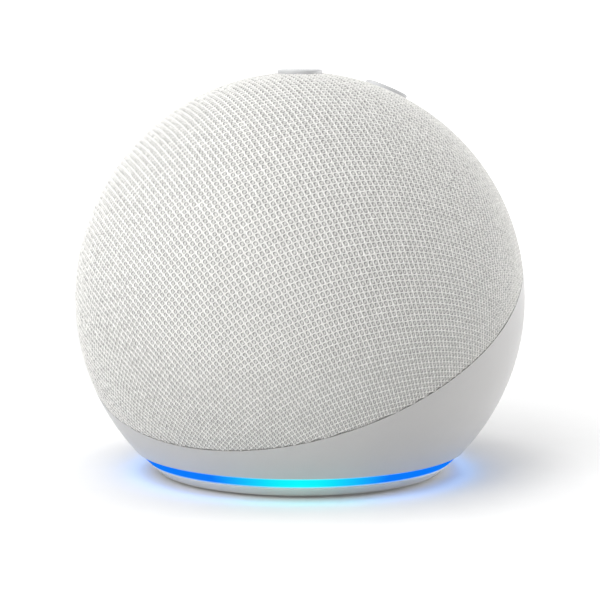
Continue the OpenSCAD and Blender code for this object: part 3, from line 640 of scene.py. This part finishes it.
@dataclass(frozen=True)
class KnitCover:
    """The knitted cover: one flat sheet of staggered cells, stretched over the dome and tucked in.

    The knit was laid on the dome with its wales square to the seam, so a point keeps its distance
    from the dome's pole. The sheet creeps a little towards the hem.
    """

    across_mm: float = 1.983
    up_mm: float = 1.722
    pit_mm: float = 0.20
    middle_mm: float = 0.04
    creep: float = 0.0156
    fold_mm: float = 0.38
    tuck_mm: float = 1.9
    hole_mm: float = KEY_HOLE_MM

    def edge_angle(self) -> float:
        """Returns the angle from the dome's pole to the folded hem, in radians."""
        return math.acos(-(SEAM_DROP_MM + self.fold_mm) * MM / BODY_RADIUS)

    def flat_radius(self) -> float:
        """Returns the radius of the flat sheet before it was stretched, in metres."""
        angle = self.edge_angle() + self.tuck_mm * MM / BODY_RADIUS
        return BODY_RADIUS * angle * (1 + self.creep * angle ** 2)

    def cell(self) -> bpy.types.Object:
        """Builds one cell: six rib corners, four points of its pit and a raised middle.

        Returns:
            The cell, flat and centred on the origin.
        """
        wide, tall = self.across_mm / 2 * MM, self.up_mm / 2 * MM
        waist = tall ** 2 / (2 * wide) + wide / 2
        shoulder = wide - waist
        corners = [(waist, 0), (shoulder, tall), (-shoulder, tall), (-waist, 0), (-shoulder, -tall),
                   (shoulder, -tall)]
        pit = [(0.6 * wide, 0), (0, 0.62 * tall), (-0.6 * wide, 0), (0, -0.62 * tall)]
        points = [(x, y, 0) for x, y in corners] + [(x, y, -self.pit_mm * MM) for x, y in pit]
        points.append((0, 0, -self.middle_mm * MM))
        slopes = [(0, 1, 7, 6), (1, 2, 7), (2, 3, 8, 7), (3, 4, 9, 8), (4, 5, 9), (5, 0, 6, 9)]
        loop = [(6, 7, 10), (7, 8, 10), (8, 9, 10), (9, 6, 10)]
        mesh = bpy.data.meshes.new("knit_cell")
        mesh.from_pydata(points, [], slopes + loop)
        layer = mesh.uv_layers.new(name="UVMap")
        for corner in mesh.loops:
            x, y, _ = points[corner.vertex_index]
            layer.data[corner.index].uv = (0.5 + x / (2 * wide), 0.5 + y / (2 * tall))
        return link("knit_cell", mesh)

    def tree(self) -> tuple[Tree, dict[str, str]]:
        """Builds the Geometry Nodes tree that lays the cells and stretches the sheet.

        Returns:
            The tree, and the identifier of each of its inputs by name.
        """
        tree = bpy.data.node_groups.new("knit_over_dome", "GeometryNodeTree")
        kinds = {"Cell": "Object", "Finish": "Material", "Across": "Float", "Up": "Float", "Radius": "Float",
                 "Creep": "Float", "Edge Angle": "Float", "Tuck": "Float", "Hole Angle": "Float"}
        ids = {name: tree.interface.new_socket(name=name, in_out="INPUT",
                                               socket_type="NodeSocket" + kind).identifier
               for name, kind in kinds.items()}
        tree.interface.new_socket(name="Geometry", in_out="OUTPUT", socket_type="NodeSocketGeometry")
        given = put(tree, "NodeGroupInput").outputs
        sheet = self.lay_cells(tree, given)
        wrapped = self.stretch(tree, given, sheet)
        smooth = put(tree, "GeometryNodeSetShadeSmooth", {0: wrapped})
        dressed = put(tree, "GeometryNodeSetMaterial", {0: smooth.outputs[0], "Material": given["Finish"]})
        put(tree, "NodeGroupOutput", {0: dressed.outputs[0]})
        return tree, ids

    def lay_cells(self, tree: Tree, given: object) -> Socket:
        """Lays the cells flat, every second column half a cell higher, and knits their ribs together.

        Args:
            tree: The Geometry Nodes tree.
            given: The tree's inputs.

        Returns:
            The flat sheet.
        """
        half = maths(tree, "DIVIDE", given["Across"], 2.0)
        reach = self.flat_radius()
        columns = 2 * math.ceil(reach / (self.across_mm * MM / 2)) + 1
        rows = 2 * math.ceil(reach / (self.up_mm * MM)) + 3
        grid = put(tree, "GeometryNodeMeshGrid", {
            "Size X": maths(tree, "MULTIPLY", half, columns - 1.0),
            "Size Y": maths(tree, "MULTIPLY", given["Up"], rows - 1.0),
            "Vertices X": columns, "Vertices Y": rows})
        place = put(tree, "GeometryNodeInputPosition").outputs[0]
        x = put(tree, "ShaderNodeSeparateXYZ", {0: place}).outputs["X"]
        column = maths(tree, "ROUND", maths(tree, "DIVIDE", x, half))
        odd = maths(tree, "FLOORED_MODULO", column, 2.0)
        rise = maths(tree, "MULTIPLY", odd, maths(tree, "DIVIDE", given["Up"], 2.0))
        lift = put(tree, "ShaderNodeCombineXYZ", {"Y": rise}).outputs[0]
        staggered = put(tree, "GeometryNodeSetPosition", {0: grid.outputs[0], "Offset": lift})
        far = maths(tree, "GREATER_THAN", vectors(tree, "LENGTH", place, out=1), reach)
        kept = put(tree, "GeometryNodeDeleteGeometry", {0: staggered.outputs[0], "Selection": far})
        source = put(tree, "GeometryNodeObjectInfo", {"Object": given["Cell"], "As Instance": True})
        cells = put(tree, "GeometryNodeInstanceOnPoints", {
            "Points": kept.outputs[0], "Instance": source.outputs["Geometry"]})
        real = put(tree, "GeometryNodeRealizeInstances", {0: cells.outputs[0]})
        return put(tree, "GeometryNodeMergeByDistance", {
            0: real.outputs[0], "Distance": 0.02 * MM}).outputs[0]

    def stretch(self, tree: Tree, given: object, sheet: Socket) -> Socket:
        """Stretches the flat sheet over the dome and tucks it in at the seam and in the key holes.

        Args:
            tree: The Geometry Nodes tree.
            given: The tree's inputs.
            sheet: The flat sheet.

        Returns:
            The cover, with what lies deeper than the tuck cut off.
        """
        place = put(tree, "GeometryNodeInputPosition").outputs[0]
        relief = put(tree, "ShaderNodeSeparateXYZ", {0: place}).outputs["Z"]
        flat = vectors(tree, "MULTIPLY", place, (1.0, 1.0, 0.0))
        out = maths(tree, "DIVIDE", vectors(tree, "LENGTH", flat, out=1), given["Radius"])
        crept = maths(tree, "MULTIPLY", maths(tree, "MULTIPLY", out, out), given["Creep"])
        ease = maths(tree, "SUBTRACT", 1.0, maths(tree, "MULTIPLY", crept,
                                                  maths(tree, "MULTIPLY_ADD", crept, -3.0, 1.0)))
        angle = maths(tree, "MULTIPLY", out, ease)
        held = maths(tree, "MINIMUM", angle, given["Edge Angle"])
        past = maths(tree, "SUBTRACT", angle, held)
        side = scaled(tree, vectors(tree, "NORMALIZE", flat), maths(tree, "SINE", held))
        pole = put(tree, "ShaderNodeCombineXYZ", {"Z": maths(tree, "COSINE", held)}).outputs[0]
        upward = vectors(tree, "ADD", side, pole)
        direction = put(tree, "ShaderNodeVectorRotate", {
            "Vector": upward, "Angle": SEAM_TILT}, rotation_type="X_AXIS").outputs[0]
        drop = past
        for mark in KeyMark:
            towards = key_direction(mark.value)
            cosine = vectors(tree, "DOT_PRODUCT", direction, towards, out=1)
            apart = maths(tree, "ARCCOSINE", maths(tree, "MINIMUM", cosine, 1.0))
            inside = maths(tree, "MAXIMUM", maths(tree, "SUBTRACT", given["Hole Angle"], apart), 0.0)
            sideways = vectors(tree, "SUBTRACT", direction, scaled(tree, towards, cosine))
            level = scaled(tree, vectors(tree, "NORMALIZE", sideways),
                           maths(tree, "SINE", given["Hole Angle"]))
            upright = scaled(tree, towards, maths(tree, "COSINE", given["Hole Angle"]))
            rim = vectors(tree, "ADD", level, upright)
            direction = put(tree, "GeometryNodeSwitch", {
                "Switch": maths(tree, "GREATER_THAN", inside, 0.0), "False": direction, "True": rim},
                input_type="VECTOR").outputs[0]
            drop = maths(tree, "ADD", drop, inside)
        depth = maths(tree, "MULTIPLY", drop, given["Radius"])
        radius = maths(tree, "SUBTRACT", maths(tree, "ADD", given["Radius"], relief), depth)
        final = vectors(tree, "ADD", scaled(tree, direction, radius), BODY_CENTRE)
        hidden = put(tree, "GeometryNodeCaptureAttribute", {0: sheet})
        hidden.capture_items.new("FLOAT", "Depth")
        tree.links.new(depth, hidden.inputs["Depth"])
        moved = put(tree, "GeometryNodeSetPosition", {0: hidden.outputs[0], "Position": final})
        deep = maths(tree, "GREATER_THAN", hidden.outputs["Depth"], given["Tuck"])
        return put(tree, "GeometryNodeDeleteGeometry", {0: moved.outputs[0], "Selection": deep}).outputs[0]

    def build(self, finishes: Finishes) -> bpy.types.Object:
        """Builds the cover as one plain mesh on the body.

        Args:
            finishes: Where the knit's material comes from.

        Returns:
            The finished cover.
        """
        cell = self.cell()
        tree, ids = self.tree()
        blank = link("knit_blank", bpy.data.meshes.new("knit_blank"))
        modifier = blank.modifiers.new("knit", "NODES")
        modifier.node_group = tree
        values = {"Cell": cell, "Finish": finishes.get("knit_fabric"), "Across": self.across_mm * MM,
                  "Up": self.up_mm * MM, "Radius": BODY_RADIUS, "Creep": self.creep,
                  "Edge Angle": self.edge_angle(), "Tuck": self.tuck_mm * MM,
                  "Hole Angle": self.hole_mm * MM / BODY_RADIUS}
        for name, value in values.items():
            modifier[ids[name]] = value
        bpy.context.view_layer.update()
        evaluated = blank.evaluated_get(bpy.context.evaluated_depsgraph_get())
        mesh = bpy.data.meshes.new_from_object(evaluated)
        blank.modifiers.remove(modifier)
        for scrap in (blank, cell):
            bpy.data.objects.remove(scrap)
        cover = link("knit_cover", mesh)
        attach(cover, "speaker")
        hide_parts("fabric_cover")
        LOG.info("knit cover: %d faces", len(mesh.polygons))
        return cover


@dataclass(frozen=True)
class KeyMarks:
    """The marks printed in the hollow of each key."""

    line_mm: float = 0.42
    size_mm: float = 2.6
    ink_mm: float = 0.03
    step_mm: float = 0.35

    def strokes(self, mark: KeyMark) -> list[list[tuple[float, float]]]:
        """Returns a mark's lines on the key's face, with +Y away from the listener.

        Args:
            mark: The mark.

        Returns:
            Its lines, each as points in millimetres.
        """
        half = self.size_mm / 2
        if mark is KeyMark.PLUS:
            return [[(-half, 0), (half, 0)], [(0, -half), (0, half)]]
        if mark is KeyMark.MINUS:
            return [[(-half, 0), (half, 0)]]
        if mark is KeyMark.DOT:
            ring = [i * math.tau / 24 for i in range(25)]
            return [[(0.45 * math.cos(a), 0.45 * math.sin(a)) for a in ring], [(-0.3, 0), (0.3, 0)]]
        top, side, low = 0.9, 0.42, 0.05
        head = [(side * math.cos(a), top + side * math.sin(a)) for a in self.arc(0, 180)]
        chin = [(side * math.cos(a), low + side * math.sin(a)) for a in self.arc(180, 360)]
        bracket = [(0.9 * math.cos(a), low + 0.9 * math.sin(a)) for a in self.arc(180, 360)]
        return [head + chin + head[:1], bracket, [(0, low - 0.9), (0, low - 1.4)], [(-1.3, 1.4), (1.3, -1.4)]]

    @staticmethod
    def arc(start: float, end: float) -> list[float]:
        """Lists angles 15 degrees apart.

        Args:
            start: The first angle, in degrees.
            end: The last angle, in degrees.

        Returns:
            The angles, in radians.
        """
        count = round((end - start) / 15)
        return [math.radians(start + (end - start) * i / count) for i in range(count + 1)]

    def ribbon(self, line: list[tuple[float, float]], layer: int) -> tuple[list, list]:
        """Turns one line to a flat printed ribbon with its own sides.

        Args:
            line: Its points in millimetres.
            layer: How many lines it lies on top of.

        Returns:
            Points as (x, y, height) in millimetres, and faces.
        """
        spots: list[Vector] = []
        for a, b in zip(line, line[1:]):
            parts = max(1, math.ceil(math.dist(a, b) / self.step_mm))
            spots += [Vector(a).lerp(Vector(b), i / parts) for i in range(parts)]
        spots.append(Vector(line[-1]))
        closed = (spots[0] - spots[-1]).length < 1e-6
        top = self.ink_mm * (1 + 0.5 * layer)
        points: list[tuple[float, float, float]] = []
        for i, spot in enumerate(spots):
            before = spots[i - 1] if i else (spots[-2] if closed else spot)
            after = spots[i + 1] if i + 1 < len(spots) else (spots[1] if closed else spot)
            run = (after - before).normalized()
            normal = Vector((-run.y, run.x)) * self.line_mm / 2
            for side, height in ((1, -0.02), (1, top), (-1, top), (-1, -0.02)):
                points.append((spot.x + side * normal.x, spot.y + side * normal.y, height))
        faces = []
        for i in range(len(spots) - 1):
            for j in range(4):
                k = (j + 1) % 4
                faces.append((4 * i + j, 4 * i + k, 4 * i + 4 + k, 4 * i + 4 + j))
        if not closed:
            last = 4 * (len(spots) - 1)
            faces += [(3, 2, 1, 0), (last, last + 1, last + 2, last + 3)]
        return points, faces

    def build(self, finishes: Finishes) -> None:
        """Prints each key's mark on its hollow.

        Args:
            finishes: Where the ink's material comes from.
        """
        bowl = (KEY_DISH_HALF_MM ** 2 + KEY_DISH_MM ** 2) / (2 * KEY_DISH_MM)
        for mark in KeyMark:
            out = key_direction(mark.value)
            right = (Vector((1, 0, 0)) - out * out.x).normalized()
            away = out.cross(right)
            points, faces = [], []
            for layer, line in enumerate(self.strokes(mark)):
                spots, shells = self.ribbon(line, layer)
                faces += [tuple(len(points) + i for i in face) for face in shells]
                points += spots
            placed = []
            for x, y, height in points:
                dish = bowl - math.sqrt(bowl ** 2 - x * x - y * y) - KEY_DISH_MM
                level = BODY_RADIUS + (KEY_PROUD_MM + dish + height) * MM
                placed.append(BODY_CENTRE + out * level + (right * x + away * y) * MM)
            mesh = bpy.data.meshes.new("mark")
            mesh.from_pydata(placed, [], faces)
            mesh.materials.append(finishes.get("inner_plastic"))
            printed = link("mark_" + mark.name.lower(), mesh)
            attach(printed, mark.value)
            LOG.info("%s: %d faces", printed.name, len(mesh.polygons))


@dataclass(frozen=True)
class SoftLight:
    """A square soft box that points at the speaker."""

    name: str
    azimuth_deg: float
    height_deg: float
    distance: float
    size: float
    watts: float

    def build(self) -> None:
        """Hangs the light: azimuth 0 is in front of the speaker and grows towards +X."""
        lamp = bpy.data.lights.new(self.name, "AREA")
        lamp.size = self.size
        lamp.energy = self.watts
        turn, rise = math.radians(self.azimuth_deg), math.radians(self.height_deg)
        back = Vector((math.sin(turn) * math.cos(rise), -math.cos(turn) * math.cos(rise), math.sin(rise)))
        made = bpy.data.objects.new(self.name, lamp)
        made.location = BODY_CENTRE + back * self.distance
        made.rotation_euler = back.to_track_quat("Z", "Y").to_euler()
        bpy.context.scene.collection.objects.link(made)


@dataclass(frozen=True)
class Studio:
    """Camera, soft light, a pale floor with a painted shade around the speaker, and the glow that the ring throws
    on it.
    """

    camera_distance: float = 0.5
    lens_mm: float = 134.32
    aim_below_mm: float = 0.72
    sky: float = 0.03
    # The floor's glow close to the speaker, kept low to paint a soft shade around it.
    painted_shade_near_glow: float = 0.07
    floor_light: float = 0.27
    shade_inner_mm: float = 40.0
    shade_outer_mm: float = 68.0
    wall_from: float = 0.08
    wall_full: float = 0.5
    wall_light: float = 0.88
    floor_reach: float = 1.4
    sweep_radius: float = 0.5
    wall_height: float = 1.6
    glow_watts: float = 0.000056
    glow_dip: float = 1.2
    glow_spread_deg: float = 175.0
    glow_lamps: int = 48
    glow_gap_mm: float = 0.4
    glow_rise_mm: float = 0.8
    glow_height_mm: float = 1.2
    cyan_deg: float = 24.0
    cyan_share: float = 0.7
    lights: tuple[SoftLight, ...] = (
        SoftLight("key_left", -46, 50, 0.9, 1.2, 7.6),
        SoftLight("front_fill", 0, 42, 0.9, 0.5, 2.7),
        SoftLight("top_fill", 24, 46, 0.9, 0.5, 2.6),
        SoftLight("rim_right", 143, 10, 0.9, 0.5, 6.2),
        SoftLight("back_top", 210, 50, 0.9, 0.5, 0.9),
    )

    def build(self) -> None:
        """Sets the whole studio up."""
        self.place_camera()
        for light in self.lights:
            light.build()
        self.fill_sky()
        self.lay_floor()
        self.throw_glow()

    def place_camera(self) -> None:
        """Puts the camera at the chosen angle around and above the ball's centre."""
        scene = bpy.context.scene
        lens = bpy.data.cameras.new("camera")
        lens.lens = self.lens_mm
        lens.clip_start = 0.01
        camera = bpy.data.objects.new("camera", lens)
        flat = math.cos(VIEW_HEIGHT)
        back = Vector((math.sin(VIEW_AZIMUTH) * flat, -math.cos(VIEW_AZIMUTH) * flat, math.sin(VIEW_HEIGHT)))
        camera.rotation_euler = back.to_track_quat("Z", "Y").to_euler()
        down = Vector((0, 0, -self.aim_below_mm * MM))
        camera.location = BODY_CENTRE + down + back * self.camera_distance
        scene.collection.objects.link(camera)
        scene.camera = camera
        scene.view_settings.view_transform = "Standard"

    def fill_sky(self) -> None:
        """Surrounds the set with an even white light."""
        world = bpy.data.worlds.new("studio")
        world.use_nodes = True
        background = world.node_tree.nodes["Background"]
        background.inputs["Color"].default_value = (1.0, 1.0, 1.0, 1.0)
        background.inputs["Strength"].default_value = self.sky
        bpy.context.scene.world = world

    def lay_floor(self) -> None:
        """Lays a plain pale sweep: a floor that curves up far behind the speaker into a wall."""
        steps = 24
        bend = [(self.floor_reach + self.sweep_radius * math.sin(a), self.sweep_radius * (1 - math.cos(a)))
                for a in (math.pi / 2 * i / steps for i in range(steps + 1))]
        profile = [(-self.floor_reach, 0.0), *bend, (bend[-1][0], self.wall_height)]
        away = Vector((-math.sin(VIEW_AZIMUTH), math.cos(VIEW_AZIMUTH), 0))
        side = Vector((away.y, -away.x, 0)) * self.floor_reach
        points = [away * reach + Vector((0, 0, rise)) + side * s for reach, rise in profile for s in (-1, 1)]
        faces = [(2 * i, 2 * i + 1, 2 * i + 3, 2 * i + 2) for i in range(len(profile) - 1)]
        mesh = bpy.data.meshes.new("floor")
        mesh.from_pydata(points, [], faces)
        paper = Moulded("matt_paper_white", "#dddddd", "#dadada", 0.9, 0.8, 0.002).material()
        self.light_wall(paper.node_tree)
        mesh.materials.append(paper)
        link("floor", mesh)

    def light_wall(self, tree: Tree) -> None:
        """Lets the sweep glow softly, less around the speaker and more and more towards its wall.

        The paper stays white there. The glow's dip around the speaker paints a soft shade on the floor, on top of
        the shade that the lamps cast there.

        Args:
            tree: The paper's tree.
        """
        shader = next(n for n in tree.nodes if n.type == "BSDF_PRINCIPLED")
        place = put(tree, "ShaderNodeTexCoord").outputs["Object"]
        away = (-math.sin(VIEW_AZIMUTH), math.cos(VIEW_AZIMUTH), 0.0)
        reach = vectors(tree, "DOT_PRODUCT", place, away, out=1)
        # Painted shade: the floor's glow drops from floor_light to the low near value within shade_outer_mm of the
        # speaker.
        glow_with_painted_shade = put(tree, "ShaderNodeMapRange", {
            0: vectors(tree, "LENGTH", place, out=1),
            1: self.shade_inner_mm * MM, 2: self.shade_outer_mm * MM,
            3: self.painted_shade_near_glow, 4: self.floor_light}, interpolation_type="SMOOTHSTEP").outputs[0]
        wall = put(tree, "ShaderNodeMapRange", {
            0: reach, 1: self.wall_from, 2: self.wall_full, 3: 0.0, 4: self.wall_light},
            interpolation_type="SMOOTHSTEP").outputs[0]
        glow = maths(tree, "MAXIMUM", glow_with_painted_shade, wall)
        shader.inputs["Emission Color"].default_value = (1.0, 1.0, 1.0, 1.0)
        tree.links.new(glow, shader.inputs["Emission Strength"])

    def throw_glow(self) -> None:
        """Hangs a closed row of small lamps around the ring, which throw its light out on the floor."""
        low, high = LIGHT_RING
        radius = (high.x - low.x) / 2 + self.glow_gap_mm * MM
        for i in range(self.glow_lamps):
            apart = (i + 0.5) * math.tau / self.glow_lamps
            turn = VIEW_AZIMUTH + apart
            facing = math.degrees(min(apart, math.tau - apart)) < self.cyan_deg
            lamp = bpy.data.lights.new("glow", "AREA")
            lamp.shape = "RECTANGLE"
            lamp.size = math.tau * radius / self.glow_lamps
            lamp.size_y = self.glow_height_mm * MM
            lamp.spread = math.radians(self.glow_spread_deg)
            lamp.energy = self.glow_watts * (self.cyan_share if facing else 1.0)
            lamp.color = colour("#4fe6ff" if facing else "#62b4ff")[:3]
            out = Vector((math.sin(turn), -math.cos(turn), -self.glow_dip)).normalized()
            made = bpy.data.objects.new("glow", lamp)
            level = low.z + self.glow_rise_mm * MM
            made.location = (radius * math.sin(turn), -radius * math.cos(turn), level)
            made.rotation_euler = out.to_track_quat("-Z", "Y").to_euler()
            made.visible_camera = False
            bpy.context.scene.collection.objects.link(made)


def main() -> None:
    """Builds the studio, dresses the frame and adds the knit and the marks."""
    logging.basicConfig(level=logging.INFO, format="%(name)s: %(message)s")
    finishes = Finishes()
    Studio().build()
    finishes.dress_frame()
    KnitCover().build(finishes)
    KeyMarks().build(finishes)


if __name__ == "__main__":
    main()
